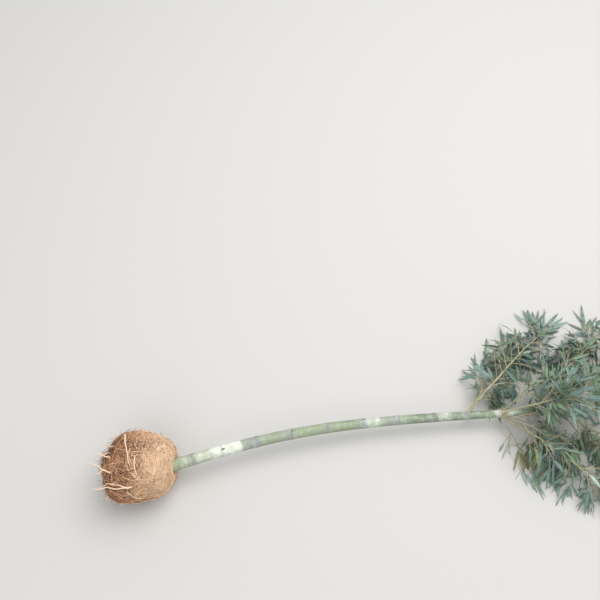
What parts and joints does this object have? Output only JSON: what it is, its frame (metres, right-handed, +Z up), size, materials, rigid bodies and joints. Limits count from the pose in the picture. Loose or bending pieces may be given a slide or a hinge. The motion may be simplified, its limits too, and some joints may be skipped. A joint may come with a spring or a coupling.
{
  "type": "bamboo plant on its root ball",
  "caption": "Young nursery bamboo laid on its side: a fibrous root ball out of its bag, one slender green culm and a crown of side boughs with narrow leaves.",
  "frame": {"origin": "on the ground under the middle of the root ball, in the flat patch it rests on", "axes": "+X from the root ball to the culm's tip, +Y to the plant's left as it lies, +Z up"},
  "size_m": [1.8213, 0.5836, 0.2195],
  "materials": {
    "root_fibre": "matte fibrous",
    "culm_green": "waxy satin",
    "branch_straw": "dull satin",
    "leaf_green": "dull leaf"
  },
  "bodies": {
    "root": {"root_ball": "root_fibre", "culm": "culm_green", "bough_left_1": "branch_straw", "leaves_left_1": "leaf_green", "bough_left_2": "branch_straw", "leaves_left_2": "leaf_green", "bough_left_3": "branch_straw", "leaves_left_3": "leaf_green", "bough_left_4": "branch_straw", "leaves_left_4": "leaf_green", "bough_left_5": "branch_straw", "leaves_left_5": "leaf_green", "bough_left_6": "branch_straw", "leaves_left_6": "leaf_green", "bough_right_1": "branch_straw", "leaves_right_1": "leaf_green", "bough_right_2": "branch_straw", "leaves_right_2": "leaf_green", "bough_right_3": "branch_straw", "leaves_right_3": "leaf_green", "bough_right_4": "branch_straw", "leaves_right_4": "leaf_green", "bough_right_5": "branch_straw", "leaves_right_5": "leaf_green", "bough_right_6": "branch_straw", "leaves_right_6": "leaf_green", "bough_top_1": "branch_straw", "leaves_top_1": "leaf_green", "bough_top_2": "branch_straw", "leaves_top_2": "leaf_green", "bough_top_3": "branch_straw", "leaves_top_3": "leaf_green", "bough_top_4": "branch_straw", "leaves_top_4": "leaf_green", "leaves_tip": "leaf_green"}
  },
  "joints": []
}
